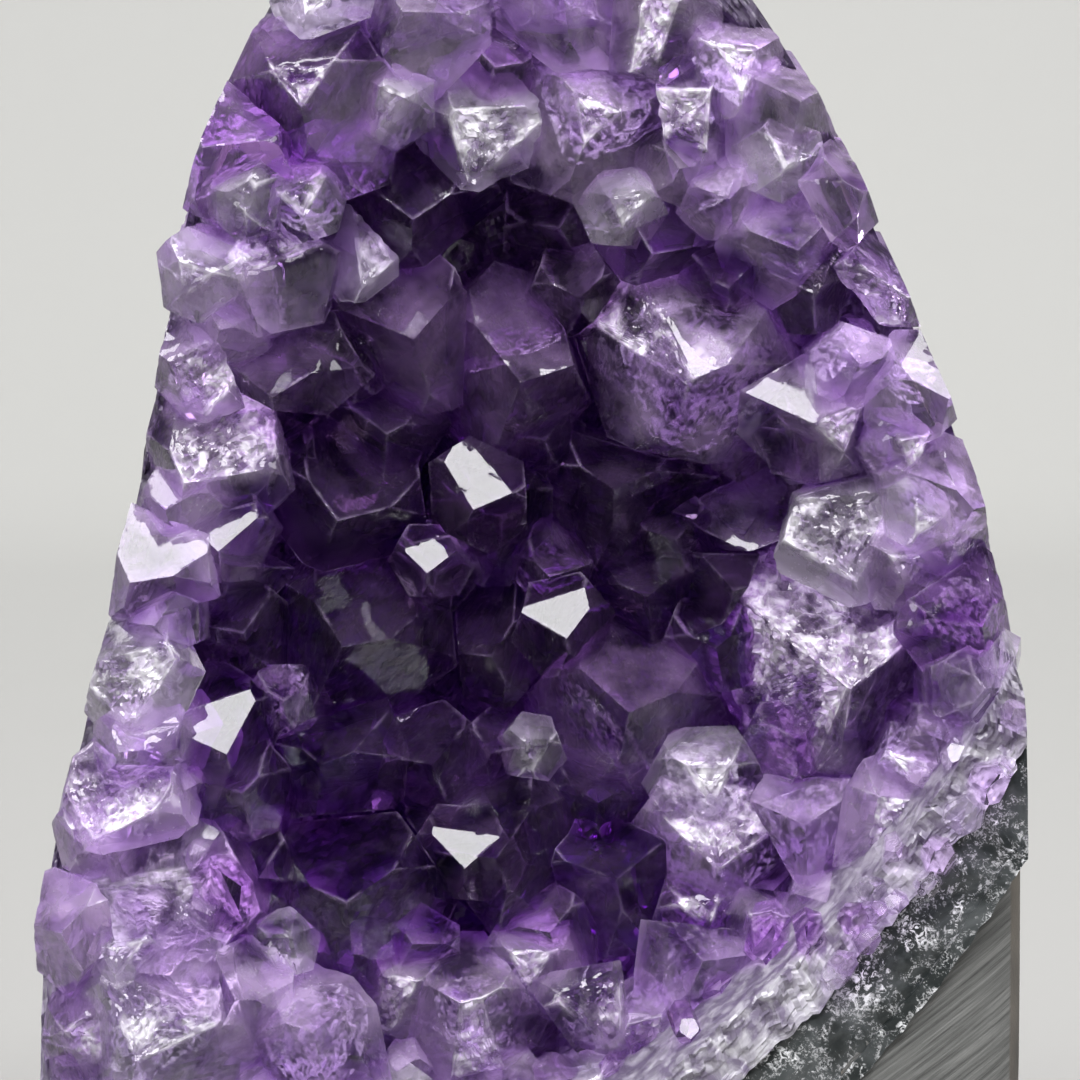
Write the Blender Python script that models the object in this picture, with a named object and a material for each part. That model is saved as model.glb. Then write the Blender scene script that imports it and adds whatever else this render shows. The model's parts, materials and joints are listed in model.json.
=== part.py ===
"""A free-standing amethyst geode: a piece of a basalt geode with a sawn base.

From the back to the front it is a basalt rind, a chalcedony band, a druse of milky quartz and the
amethyst crystals that are rooted in the druse and face the front. Each crystal is a convex solid
between planes: six prism faces, six faces of its point, a root plane, and the faces of the larger
crystals that stopped its growth. Lengths are in millimetres up to the making of a mesh.
+Z is up, the crystals face -Y, and the origin is under the middle of the sawn base.
"""

import itertools
import math
import random

import bmesh
import bpy
import numpy as np
from mathutils import Matrix, Vector, noise

MM = 0.001
GAP = 0.3
HEIGHT = 140.0
SEED = 7

# The sides of the geode as seen from the front: (height, distance from the middle).
LEFT_SIDE = [(0, 48.5), (20, 50), (41, 48.8), (55, 45.3), (75, 40.6), (90, 37.6), (106, 34.8),
             (119, 30.4), (129, 25.6), (135, 19.5), (139, 11), (HEIGHT, 5)]
RIGHT_SIDE = [(0, 49), (21, 49.8), (55, 49.8), (63, 48.5), (75, 46), (86, 42.8), (99, 37.6),
              (109, 33.6), (116, 30.2), (129, 22.2), (135, 15), (139, 6), (HEIGHT, 0.5)]

# Front to back: the ground front face leans back from the foot, the rind's back is rounded.
FRONT_AT_FOOT = -20.0
FRONT_LEAN = 0.1
BACK_AT_FOOT = 37.0
BACK_CURVE = (152.0, 2.2)
ROCK_BUMP = 1.6

# The hollow that the crystals line: a bowl in the druse.
BOWL_MIDDLE = (4.0, 70.0)
BOWL_HALF = (43.0, 62.0)
BOWL_DEPTH = 17.0
RIM_Y = -6.0

# The layers behind the crystals, and the heights where they come out at the foot of the front face.
DRUSE = 5.0
CHALCEDONY = 3.5
RIND_TOP_LEFT = 6.0
RIND_RISE = 39.0
BAND_LEFT, BAND_RIGHT = 2.5, 9.5
MILKY_LEFT, MILKY_RIGHT = 2.0, 6.0

# Quartz: the angle between the long axis and the normal of a face of the point.
POINT_ANGLE = math.radians(51.8)
ROOT_DEPTH = 3.2

BASALT = ("basalt", (0.16, 0.155, 0.15), 0.62)
GREEN_CHALCEDONY = ("green_chalcedony", (0.09, 0.115, 0.105), 0.4)
MILKY_QUARTZ = ("milky_quartz", (0.72, 0.68, 0.76), 0.35)
DEEP = ("deep_amethyst", (0.11, 0.03, 0.2), 0.08)
VIVID = ("amethyst", (0.27, 0.1, 0.42), 0.1)
PALE = ("pale_amethyst", (0.5, 0.38, 0.64), 0.16)
CLEAR = ("clear_quartz", (0.78, 0.76, 0.82), 0.2)

# One row for each crystal: across and up, where the middle of its free length is seen from the
# front, its radius, the length of it that stands free, its lean to the right and upwards in
# degrees, its turn about its own axis, and its colour.
CRYSTALS = {
    "crown": [
        (6.0, 117.0, 9.6, 15.6, 4, 2, 10, PALE),
        (-22.0, 120.0, 7.9, 14.6, -8, 6, 35, VIVID),
        (15.5, 117.5, 7.9, 13.5, 10, 4, 50, PALE),
        (-5.0, 115.5, 7.2, 15.1, -2, -4, 20, CLEAR),
        (-12.0, 126.5, 7.5, 12.5, -6, 10, 5, PALE),
        (25.5, 118.0, 6.6, 11.4, 16, 8, 25, PALE),
        (3.0, 128.0, 7.2, 12.5, 2, 12, 40, PALE),
        (13.0, 127.5, 6.8, 11.4, 8, 12, 15, PALE),
        (-21.0, 129.0, 6.0, 10.6, -14, 12, 20, CLEAR),
    ],
    "left_rim": [
        (-33.0, 82.0, 8.6, 15.1, -12, -4, 12, PALE),
        (-25.0, 90.0, 7.7, 16.1, -6, -6, 30, VIVID),
        (-28.5, 102.0, 7.9, 14.6, -10, 6, 48, PALE),
        (-20.0, 102.5, 6.8, 14.6, 4, -4, 22, CLEAR),
        (-37.5, 39.0, 7.9, 14.6, -4, 8, 25, CLEAR),
        (-30.6, 114.0, 6.8, 13.0, -16, 2, 8, VIVID),
        (-40.0, 60.0, 7.0, 12.5, -14, -4, 40, CLEAR),
        (-38.5, 71.5, 6.6, 13.0, -14, -6, 5, PALE),
        (-33.5, 91.8, 6.6, 12.5, -12, 2, 33, PALE),
        (-45.5, 35.5, 7.0, 12.5, -14, 4, 52, PALE),
        (-42.0, 47.5, 7.0, 13.5, -14, 2, 14, PALE),
    ],
    "right_rim": [
        (31.5, 61.0, 12.0, 17.7, 6, 0, 28, PALE),
        (16.2, 92.0, 11.1, 19.2, -2, -8, 18, PALE),
        (29.5, 90.0, 9.5, 16.6, 8, -6, 46, PALE),
        (36.0, 98.5, 7.0, 11.4, 14, 4, 12, PALE),
        (40.5, 89.0, 7.0, 12.0, 14, 0, 30, PALE),
        (43.0, 78.0, 7.2, 12.5, 14, 0, 7, PALE),
        (44.0, 66.0, 7.2, 12.5, 12, 2, 50, VIVID),
        (32.0, 109.0, 6.6, 11.4, 14, 6, 22, PALE),
        (26.0, 104.0, 6.6, 13.0, 8, -2, 38, PALE),
        (36.5, 81.0, 6.3, 14.0, 8, -2, 16, CLEAR),
        (32.0, 73.5, 6.6, 15.1, 4, -2, 42, CLEAR),
        (36.0, 46.5, 7.2, 13.5, 4, 8, 10, PALE),
        (27.8, 44.5, 7.0, 14.6, 0, 10, 34, PALE),
    ],
    "hollow": [
        (-19.0, 64.0, 10.6, 16.1, 0, -2, 5, DEEP),
        (9.0, 78.5, 10.4, 14.6, -4, 6, 26, DEEP),
        (-1.0, 91.5, 9.9, 16.6, 0, -8, 12, VIVID),
        (-18.5, 37.0, 9.9, 17.2, 0, 10, 36, DEEP),
        (-4.0, 41.0, 9.9, 16.6, 4, 8, 52, DEEP),
        (10.0, 56.5, 9.5, 17.2, 0, 2, 20, VIVID),
        (-12.0, 96.0, 9.3, 16.1, 2, -8, 44, VIVID),
        (-20.0, 77.0, 9.3, 15.1, 4, -4, 8, DEEP),
        (-12.0, 108.0, 9.0, 13.5, 2, -10, 28, DEEP),
        (-4.0, 62.0, 9.0, 13.5, 0, 0, 56, DEEP),
        (19.5, 42.5, 8.4, 15.1, 0, 10, 24, PALE),
        (12.0, 104.5, 8.1, 14.0, 2, -10, 2, DEEP),
        (9.0, 38.5, 8.1, 14.6, -2, 10, 40, DEEP),
        (-21.0, 51.0, 8.1, 14.6, -2, 6, 22, DEEP),
        (22.0, 80.0, 7.7, 15.1, 2, 2, 50, VIVID),
        (-4.0, 76.5, 7.5, 13.5, 6, 6, 32, DEEP),
        (-30.5, 72.5, 7.2, 12.0, 8, 8, 18, DEEP),
        (-32.0, 54.5, 7.5, 12.5, 10, 8, 46, DEEP),
        (21.0, 68.5, 7.9, 12.5, -2, 4, 14, DEEP),
    ],
    "lip": [
        (-38.0, 25.5, 9.0, 14.6, -8, 10, 16, CLEAR),
        (-21.5, 24.5, 8.8, 15.1, -2, 12, 42, PALE),
        (17.2, 30.5, 7.9, 15.1, 2, 12, 8, PALE),
        (-6.5, 26.0, 7.7, 14.6, 0, 12, 30, PALE),
        (6.5, 26.5, 7.5, 14.6, 4, 12, 54, PALE),
    ],
}


def catmull_rom(points, count):
    """A smooth curve through points: count samples, spaced evenly along the list."""
    knots = np.array([points[0], *points, points[-1]], float)
    place = np.linspace(0, len(points) - 1, count)
    first = np.minimum(place.astype(int), len(points) - 2)
    t = (place - first)[:, None]
    a, b, c, d = (knots[first + k] for k in range(4))
    return 0.5 * (2 * b + (c - a) * t + (2 * a - 5 * b + 4 * c - d) * t**2
                  + (3 * b - a - 3 * c + d) * t**3)


def side_at(side, z):
    """How far a side stands from the middle at height z."""
    curve = catmull_rom(side, 80)
    return np.interp(z, np.maximum.accumulate(curve[:, 0]), curve[:, 1])


def root_surface(x, z):
    """The y of the druse's face, where the crystals are rooted: a flat rim with a bowl in it."""
    across = (x - BOWL_MIDDLE[0]) / BOWL_HALF[0]
    up = (z - BOWL_MIDDLE[1]) / BOWL_HALF[1]
    reach = np.maximum(0.0, 1.0 - across**2 - up**2)
    return RIM_Y + BOWL_DEPTH * reach**0.8


def rind_top(x):
    """The height on the front face where the rind ends. It climbs towards the right side."""
    rise = np.clip((x - 10.0) / 40.0, 0.0, 1.0)
    return RIND_TOP_LEFT + RIND_RISE * rise**1.5


def between(left, right, x):
    """A band's height, from its left value to its right one, changing over the middle of the front."""
    share = np.clip((x + 5.0) / 25.0, 0.0, 1.0)
    return left + (right - left) * share * share * (3 - 2 * share)


def band_top(x):
    return rind_top(x) + between(BAND_LEFT, BAND_RIGHT, x)


def druse_foot(x):
    return band_top(x) + between(MILKY_LEFT, MILKY_RIGHT, x)


def front_at(z):
    return FRONT_AT_FOOT + FRONT_LEAN * z


def material(finish):
    name, colour, roughness = finish
    made = bpy.data.materials.get(name)
    if made is None:
        made = bpy.data.materials.new(name)
        made.use_nodes = True
        shader = made.node_tree.nodes["Principled BSDF"]
        shader.inputs["Base Color"].default_value = (*colour, 1.0)
        shader.inputs["Roughness"].default_value = roughness
        shader.inputs["Metallic"].default_value = 0.0
    return made


def add_object(name, points, faces, finish=None):
    """A mesh object from points in millimetres."""
    mesh = bpy.data.meshes.new(name)
    mesh.from_pydata((np.asarray(points) * MM).tolist(), [], faces)
    if finish:
        mesh.materials.append(material(finish))
    made = bpy.data.objects.new(name, mesh)
    bpy.context.scene.collection.objects.link(made)
    return made


def tube_faces(rings, around):
    """Quads between rings of points, with the first and last ring closed by a cap."""
    faces = []
    for ring, step in itertools.product(range(rings - 1), range(around)):
        a, b = ring * around + step, ring * around + (step + 1) % around
        faces.append((a, b, b + around, a + around))
    faces.append(tuple(reversed(range(around))))
    faces.append(tuple(range((rings - 1) * around, rings * around)))
    return faces


def envelope():
    """The whole stone's outside: a flat ground front and a rounded rock back, cut level at the foot."""
    around = 40
    heights = [0, 8, 18, 30, 42, 54, 66, 78, 90, 101, 111, 120, 128, 134, 138, HEIGHT]
    points = []
    for z in heights:
        left, right = side_at(LEFT_SIDE, z), side_at(RIGHT_SIDE, z)
        middle, half = (right - left) / 2, (right + left) / 2
        back = BACK_AT_FOOT * (1 - (z / BACK_CURVE[0]) ** BACK_CURVE[1])
        front = front_at(z)
        seam = front + 0.3 * (back - front)
        for step in range(around):
            turn = 2 * math.pi * step / around
            across, depth = math.cos(turn), math.sin(turn)
            square = 0.82 if depth > 0 else 0.3
            x = middle + half * math.copysign(abs(across) ** square, across)
            reach = back - seam if depth > 0 else seam - front
            y = seam + reach * math.copysign(abs(depth) ** square, depth)
            if depth > 0.15 and 0 < z < HEIGHT:
                rough = noise.noise(Vector((x, y, z)) * 0.09)
                x += ROCK_BUMP * rough * across
                y += ROCK_BUMP * 1.5 * rough
            points.append((x, y, z))
    return add_object("envelope", points, tube_faces(len(heights), around))


def plug(name, depth, foot, outset=0.0):
    """What lies in front of a layer: everything above foot(x) and in front of the root surface, set
    back by depth. Near the foot its back sweeps forwards, as the floor of the hollow does."""
    columns, rows = 26, 22
    front, top, sweep = -80.0, 165.0, 3.0
    across = np.linspace(-62, 62, columns)
    share = np.linspace(0, 1, rows) ** 1.5
    x = np.repeat(across, rows)
    low = foot(x) - sweep
    z = low + np.tile(share, columns) * (top - low)
    near_foot = np.exp(-(z - low) / sweep)
    wave = np.array([noise.noise(Vector((a, b, depth * 9)) * 0.13) for a, b in zip(x, z)])
    deepest = root_surface(x, z) + depth + wave * 0.8
    back = front + 12 + (deepest - front - 12) * (1 - near_foot) + outset
    z = z - outset * np.minimum(1, 4 * near_foot)
    points = np.concatenate([np.stack([x, back, z], 1), np.stack([x, np.full_like(x, front), z], 1)])
    faces, count = [], columns * rows
    for i, j in itertools.product(range(columns - 1), range(rows - 1)):
        a, b = i * rows + j, (i + 1) * rows + j
        faces += [(a, a + 1, b + 1), (a, b + 1, b)]
        faces.append((a + count, b + count, b + 1 + count, a + 1 + count))
    border = [i * rows for i in range(columns)]
    border += [(columns - 1) * rows + j for j in range(1, rows)]
    border += [i * rows + rows - 1 for i in range(columns - 2, -1, -1)]
    border += list(range(rows - 2, 0, -1))
    for a, b in zip(border, border[1:] + border[:1]):
        faces.append((a, b, b + count, a + count))
    return add_object(name, points, faces)


def hide(obj):
    obj.hide_render = True
    obj.display_type = "WIRE"
    return obj


def cut(obj, operation, other):
    """Adds a Boolean with one object, or with a collection of them."""
    step = obj.modifiers.new(operation.lower(), "BOOLEAN")
    step.operation = operation
    step.solver = "EXACT"
    if isinstance(other, bpy.types.Collection):
        step.operand_type = "COLLECTION"
        step.collection = other
    else:
        step.object = other


def corners_of(planes):
    """The corners of the convex solid inside planes, each (nx, ny, nz, distance)."""
    planes = np.asarray(planes)
    trios = np.array(list(itertools.combinations(range(len(planes)), 3)))
    normals = planes[trios, :3]
    clear = np.abs(np.linalg.det(normals)) > 1e-3
    found = np.linalg.solve(normals[clear], planes[trios[clear], 3][..., None])[..., 0]
    inside = (found @ planes[:, :3].T <= planes[:, 3] + 1e-6).all(axis=1)
    return np.unique(np.round(found[inside], 5), axis=0)


def grow(row, chance):
    """The planes of one free crystal and its key point, which lies on its axis below its point."""
    x, z, radius, length, lean_right, lean_up, turn, _ = row
    axis = np.array([math.sin(math.radians(lean_right)), -1.0, math.sin(math.radians(lean_up))])
    x, z = x - axis[0] * length / 2, z - axis[2] * length / 2
    root = np.array([x, float(root_surface(x, z)), z])
    axis /= np.linalg.norm(axis)
    side = np.cross(axis, (0, 0, 1))
    side /= np.linalg.norm(side)
    other = np.cross(axis, side)
    planes = []
    for k in range(6):
        angle = math.radians(turn + 60 * k)
        outward = side * math.cos(angle) + other * math.sin(angle)
        reach = radius * chance.uniform(0.9, 1.06)
        planes.append((*outward, outward @ root + reach))
        slope = outward * math.sin(POINT_ANGLE) + axis * math.cos(POINT_ANGLE)
        set_out = 0.0 if k % 2 == 0 else radius * chance.uniform(0.12, 0.32)
        planes.append((*slope, slope @ root + length * math.cos(POINT_ANGLE) + set_out))
    planes.append((*-axis, -axis @ root + ROOT_DEPTH))
    return planes, root + axis * length * 0.45


def trimmed(planes, plane):
    """planes with one more, if it cuts the solid."""
    corners = corners_of(planes)
    plane = np.asarray(plane)
    reach = corners @ plane[:3] - plane[3]
    return planes + [tuple(plane)] if len(corners) and reach.max() > 1e-4 else planes


def side_planes():
    """The planes of the ground sides, along the outline seen from the front."""
    found = []
    for side, sign in ((LEFT_SIDE, -1), (RIGHT_SIDE, 1)):
        heights = np.linspace(2, HEIGHT - 2, 22)
        reach = sign * side_at(side, heights)
        for a, b, low, high in zip(reach, reach[1:], heights, heights[1:]):
            normal = np.array([high - low, 0.0, a - b]) * sign
            normal /= np.linalg.norm(normal)
            found.append((*normal, normal @ np.array([a, 0, low]) + 0.6, (low + high) / 2, sign))
    return found


def stop_growth(planes, key, stronger):
    """Cuts a crystal by the face of each stronger crystal that leaves most of it."""
    for faces, _, corners in stronger:
        own = corners_of(planes)
        if len(own) < 4 or np.linalg.norm(own.mean(0) - corners.mean(0)) > 40:
            continue
        table = np.asarray(faces)
        clear = (own @ table[:, :3].T - table[:, 3]).min(axis=0)
        if clear.max() >= GAP:
            continue
        ahead = table[:, :3] @ key - table[:, 3]
        best = table[int(np.argmax(ahead))]
        planes = trimmed(planes, (*-best[:3], -(best[3] + GAP)))
    return planes


def solid_from(name, planes, finish=None):
    """The closed mesh of a convex solid."""
    made = bmesh.new()
    for corner in corners_of(planes):
        made.verts.new(corner * MM)
    hull = bmesh.ops.convex_hull(made, input=made.verts)
    spare = {v for v in hull["geom_interior"] + hull["geom_unused"] if isinstance(v, bmesh.types.BMVert)}
    bmesh.ops.delete(made, geom=list(spare), context="VERTS")
    bmesh.ops.dissolve_limit(made, angle_limit=0.001, verts=made.verts, edges=made.edges)
    bmesh.ops.recalc_face_normals(made, faces=made.faces)
    mesh = bpy.data.meshes.new(name)
    made.to_mesh(mesh)
    made.free()
    if finish:
        mesh.materials.append(material(finish))
    obj = bpy.data.objects.new(name, mesh)
    bpy.context.scene.collection.objects.link(obj)
    return obj


def finish_layer(layer):
    """Applies a layer's cuts, and drops the crumbs that they leave loose beside its one body."""
    bpy.context.view_layer.update()
    graph = bpy.context.evaluated_depsgraph_get()
    mesh = bpy.data.meshes.new_from_object(layer.evaluated_get(graph))
    made = bmesh.new()
    made.from_mesh(mesh)
    waiting, bodies = set(made.faces), []
    while waiting:
        body = edge = {waiting.pop()}
        while edge:
            near = {other for face in edge for side in face.edges if len(side.link_faces) == 2
                    for other in side.link_faces}
            edge = near - body
            body = body | edge
        waiting -= body
        bodies.append(body)
    crumbs = set(made.faces) - max(bodies, key=len)
    bmesh.ops.delete(made, geom=list(crumbs), context="FACES")
    made.to_mesh(mesh)
    made.free()
    layer.modifiers.clear()
    layer.data = mesh


def crystals():
    """Every crystal as (name, planes, finish), the largest first so that they stop the others."""
    chance = random.Random(SEED)
    rows = [(f"{zone}_crystal_{number:02d}", row) for zone, table in CRYSTALS.items()
            for number, row in enumerate(table, 1)]
    rows.sort(key=lambda item: -(item[1][2] + 0.25 * item[1][3]))
    sides = side_planes()
    grown = []
    for name, row in rows:
        planes, key = grow(row, chance)
        for *plane, height, sign in sides:
            if abs(height - row[1]) < 16 and sign * row[0] > 0:
                planes = trimmed(planes, plane)
        planes = stop_growth(planes, key, [g[1:] for g in grown])
        grown.append((name, planes, row[7], corners_of(planes)))
    return [(name, planes, finish) for name, planes, finish, _ in grown]


def centre_on_base(objects):
    """Moves the meshes so that the origin is under the middle of the whole."""
    bpy.context.view_layer.update()
    graph = bpy.context.evaluated_depsgraph_get()
    corners = np.array([corner for obj in objects for corner in obj.evaluated_get(graph).bound_box])
    middle = (corners.min(0) + corners.max(0)) / 2
    shift = Matrix.Translation((-middle[0], -middle[1], -corners[:, 2].min()))
    for mesh in bpy.data.meshes:
        mesh.transform(shift)


def build():
    for obj in list(bpy.data.objects):
        bpy.data.objects.remove(obj)

    outside = hide(envelope())
    behind_rind = hide(plug("rind_hollow", DRUSE + CHALCEDONY, rind_top, GAP))
    behind_band = hide(plug("band_front", DRUSE + CHALCEDONY, rind_top))
    band_hollow = hide(plug("band_hollow", DRUSE, band_top, GAP))
    druse_back = hide(plug("druse_back", DRUSE, band_top))
    druse_face = hide(plug("druse_face", 0.0, druse_foot))

    sockets = bpy.data.collections.new("sockets")
    bpy.context.scene.collection.children.link(sockets)
    sockets.hide_render = True
    parts = []
    for name, planes, finish in crystals():
        parts.append(solid_from(name, planes, finish))
        wider = np.asarray(planes) + (0, 0, 0, GAP)
        socket = solid_from("socket_" + name, wider)
        bpy.context.scene.collection.objects.unlink(socket)
        sockets.objects.link(hide(socket))

    for name, finish, steps in (
        ("basalt_rind", BASALT, [("DIFFERENCE", behind_rind), ("DIFFERENCE", sockets)]),
        ("chalcedony_band", GREEN_CHALCEDONY,
         [("INTERSECT", behind_band), ("DIFFERENCE", band_hollow), ("DIFFERENCE", sockets)]),
        ("quartz_druse", MILKY_QUARTZ,
         [("INTERSECT", druse_back), ("DIFFERENCE", druse_face), ("DIFFERENCE", sockets)]),
    ):
        layer = bpy.data.objects.new(name, outside.data.copy())
        layer.data.materials.append(material(finish))
        bpy.context.scene.collection.objects.link(layer)
        for operation, other in steps:
            cut(layer, operation, other)
        finish_layer(layer)
        parts.append(layer)
    centre_on_base(parts)


build()
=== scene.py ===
"""Looks of the amethyst geode: every crystal with its facets, breaks, veils and colour, the milky
druse, the chalcedony band and the basalt rind, on a pale floor in soft light.

Shapes are worked out in millimetres, in the drawing's own frame, and moved into the part's frame
when a mesh is made. +Z is up and the crystals face -Y.
"""

import itertools
import json
import math

import bpy
import numpy as np
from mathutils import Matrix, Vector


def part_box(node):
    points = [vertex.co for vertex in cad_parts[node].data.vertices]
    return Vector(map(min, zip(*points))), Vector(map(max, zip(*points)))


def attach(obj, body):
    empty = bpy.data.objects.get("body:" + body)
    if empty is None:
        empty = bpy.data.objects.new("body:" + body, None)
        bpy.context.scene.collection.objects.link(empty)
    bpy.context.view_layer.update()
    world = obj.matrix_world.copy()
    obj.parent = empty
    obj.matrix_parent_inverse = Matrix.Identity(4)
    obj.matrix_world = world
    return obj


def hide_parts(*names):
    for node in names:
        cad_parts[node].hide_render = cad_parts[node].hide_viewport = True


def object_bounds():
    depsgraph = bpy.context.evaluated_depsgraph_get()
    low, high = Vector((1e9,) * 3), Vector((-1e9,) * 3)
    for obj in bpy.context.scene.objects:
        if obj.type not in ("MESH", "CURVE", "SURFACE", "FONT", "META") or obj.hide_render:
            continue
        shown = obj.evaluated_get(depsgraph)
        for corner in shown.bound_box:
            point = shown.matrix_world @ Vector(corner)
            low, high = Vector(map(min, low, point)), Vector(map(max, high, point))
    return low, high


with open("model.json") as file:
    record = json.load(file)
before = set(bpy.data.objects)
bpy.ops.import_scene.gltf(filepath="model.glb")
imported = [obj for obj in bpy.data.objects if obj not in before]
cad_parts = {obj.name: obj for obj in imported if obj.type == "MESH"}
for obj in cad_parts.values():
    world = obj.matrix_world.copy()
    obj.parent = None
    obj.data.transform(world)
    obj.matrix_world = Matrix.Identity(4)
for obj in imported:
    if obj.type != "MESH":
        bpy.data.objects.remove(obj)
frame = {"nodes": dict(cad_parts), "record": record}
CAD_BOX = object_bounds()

MM = 0.001

# The stone's outline from the front, as in the design: (height, distance from the middle).
HEIGHT = 140.0
LEFT_SIDE = [(0, 48.5), (20, 50), (41, 48.8), (55, 45.3), (75, 40.6), (90, 37.6), (106, 34.8),
             (119, 30.4), (129, 25.6), (135, 19.5), (139, 11), (HEIGHT, 5)]
RIGHT_SIDE = [(0, 49), (21, 49.8), (55, 49.8), (63, 48.5), (75, 46), (86, 42.8), (99, 37.6),
              (109, 33.6), (116, 30.2), (129, 22.2), (135, 15), (139, 6), (HEIGHT, 0.5)]

# From the design too: the ground front and the back at the foot, the bowl that the crystals line,
# and the thickness of the two layers. The sweep is how a layer's front runs back above its foot.
FRONT_AT_FOOT, FRONT_LEAN = -20.0, 0.1
BACK_AT_FOOT, BACK_CURVE = 37.0, (152.0, 2.2)
BOWL_MIDDLE, BOWL_HALF, BOWL_DEPTH, RIM_Y = (4.0, 70.0), (43.0, 62.0), 17.0, -6.0
DRUSE, CHALCEDONY = 5.0, 3.5
SWEEP_FROM, SWEEP_OVER, SWEEP_DROP = -68.0, 3.0, 3.0
POINT_ANGLE = math.radians(51.8)

# The distance between a facet's points, on the design's crystals and on the smaller ones.
FINE_STEP, SMALLER_STEP = 0.53, 0.68

# How deep the small chips in a crystal's edges go.
WEAR = 0.4

rind_low, rind_high = (np.array(corner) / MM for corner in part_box("basalt_rind"))
SHIFT = np.array([(rind_low[0] + rind_high[0]) / 2, rind_low[1] - FRONT_AT_FOOT, 0.0])
BOX_LOW, BOX_HIGH = (np.array(corner) / MM for corner in CAD_BOX)


# ---- Camera ------------------------------------------------------------------------------------

def add_camera():
    """A long lens in front, a little above the middle, that shows a 108 mm square."""
    shown, far, rise = 108.0, 520.0, math.radians(5.0)
    aim = np.array([1.0, -14.0, 75.0]) + SHIFT
    lens = bpy.data.cameras.new("camera")
    lens.sensor_width = 36.0
    lens.lens = 36.0 * far / shown
    lens.clip_start, lens.clip_end = 0.01, 20.0
    camera = bpy.data.objects.new("camera", lens)
    camera.location = (aim + far * np.array([0.0, -math.cos(rise), math.sin(rise)])) * MM
    camera.rotation_euler = (math.pi / 2 - rise, 0.0, 0.0)
    bpy.context.scene.collection.objects.link(camera)
    bpy.context.scene.camera = camera


add_camera()


# ---- Random fields -----------------------------------------------------------------------------

def hashed(cells, seed):
    """A whole number for each lattice cell: its coordinates mixed by multiplying and xor."""
    cells = cells.astype(np.int64) + seed * 101
    mixed = (cells[..., 0] * 73856093) ^ (cells[..., 1] * 19349663) ^ (cells[..., 2] * 83492791)
    return mixed & 4095


def cloud(points, size, seed):
    """Smooth random values from -1 to 1: random numbers on a lattice of this size, blended
    between with a smooth step."""
    table = np.random.default_rng(seed).uniform(-1, 1, 4096)
    place = points / size
    corner = np.floor(place)
    part = place - corner
    part = part * part * (3 - 2 * part)
    total = np.zeros(points.shape[:-1])
    for step in itertools.product((0, 1), repeat=3):
        weight = np.prod(np.where(step, part, 1 - part), axis=-1)
        total += weight * table[hashed(corner + step, seed)]
    return total


def shards(points, size, seed):
    """Heights of broken quartz: each point lies on the tilted plane of its nearest random centre,
    with one centre jittered in each lattice cell."""
    chance = np.random.default_rng(seed)
    jitter, tilt = chance.uniform(0, 1, (4096, 3)), chance.normal(0, 1, (4096, 3))
    level = chance.uniform(-1, 1, 4096)
    place = points / size
    corner = np.floor(place)
    nearest = np.full(points.shape[:-1], 9.0)
    height = np.zeros(points.shape[:-1])
    for step in itertools.product((-1, 0, 1), repeat=3):
        index = hashed(corner + step, seed)
        offset = place - (corner + step + jitter[index])
        far = np.einsum("...i,...i", offset, offset)
        closer = far < nearest
        found = 0.6 * np.einsum("...i,...i", offset, tilt[index]) + 0.4 * level[index]
        height = np.where(closer, found, height)
        nearest = np.where(closer, far, nearest)
    return height


# ---- Meshes ------------------------------------------------------------------------------------

def whole_faces(rows):
    """Faces without repeated corners: a quad with two equal corners becomes the triangle that is
    left of it, as at the middle of a disc, and one with fewer than three corners goes."""
    if rows.shape[1] == 4:
        same = rows == np.roll(rows, -1, axis=1)
        one = same.sum(axis=1) == 1
        across = (rows[:, 0] == rows[:, 2]) | (rows[:, 1] == rows[:, 3])
        trios = rows[one & ~across]
        trios = trios[~same[one & ~across]].reshape(-1, 3)
        return [block for block in (rows[(same.sum(axis=1) == 0) & ~across], trios) if len(block)]
    same = (rows == np.roll(rows, -1, axis=1)).any(axis=1)
    return [rows[~same]]


def add_piece(name, points, faces, material, marks=None, replaced=(), slot=None, crease=18.0):
    """A mesh object from points in drawing millimetres, kept in the design's box. Points that
    coincide are made one, marks become a point attribute that materials read, and a surface that is
    inside out is turned."""
    points = np.clip(points + SHIFT, BOX_LOW, BOX_HIGH)
    whole, index = np.unique(np.round(points, 6), axis=0, return_inverse=True)
    index = index.reshape(-1)
    rows = [kept for block in faces for kept in whole_faces(index[np.asarray(block)])]
    trios = np.concatenate([row[:, [0, k, k + 1]] for row in rows for k in range(1, row.shape[1] - 1)])
    a, b, c = np.moveaxis(whole[trios] - whole.mean(axis=0), 1, 0)
    volume = np.einsum("ij,ij", a, np.cross(b, c))
    if volume < 0:
        rows = [row[:, ::-1] for row in rows]
    loops = np.concatenate([row.ravel() for row in rows])
    totals = np.concatenate([np.full(len(row), row.shape[1]) for row in rows])
    mesh = bpy.data.meshes.new(name)
    mesh.vertices.add(len(whole))
    mesh.vertices.foreach_set("co", (whole * MM).ravel())
    mesh.loops.add(len(loops))
    mesh.loops.foreach_set("vertex_index", loops)
    mesh.polygons.add(len(totals))
    mesh.polygons.foreach_set("loop_start", np.concatenate([[0], np.cumsum(totals)[:-1]]))
    mesh.update(calc_edges=True)
    mesh.validate()
    mesh.shade_smooth()
    mesh.set_sharp_from_angle(angle=math.radians(crease))
    if marks is not None:
        highest = np.zeros(len(whole))
        np.maximum.at(highest, index, marks)
        mesh.attributes.new("mark", "FLOAT", "POINT").data.foreach_set("value", highest)
    mesh.materials.append(material)
    piece = bpy.data.objects.new(name, mesh)
    bpy.context.scene.collection.objects.link(piece)
    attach(piece, "root")
    if replaced:
        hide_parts(*replaced)
    return piece


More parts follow.
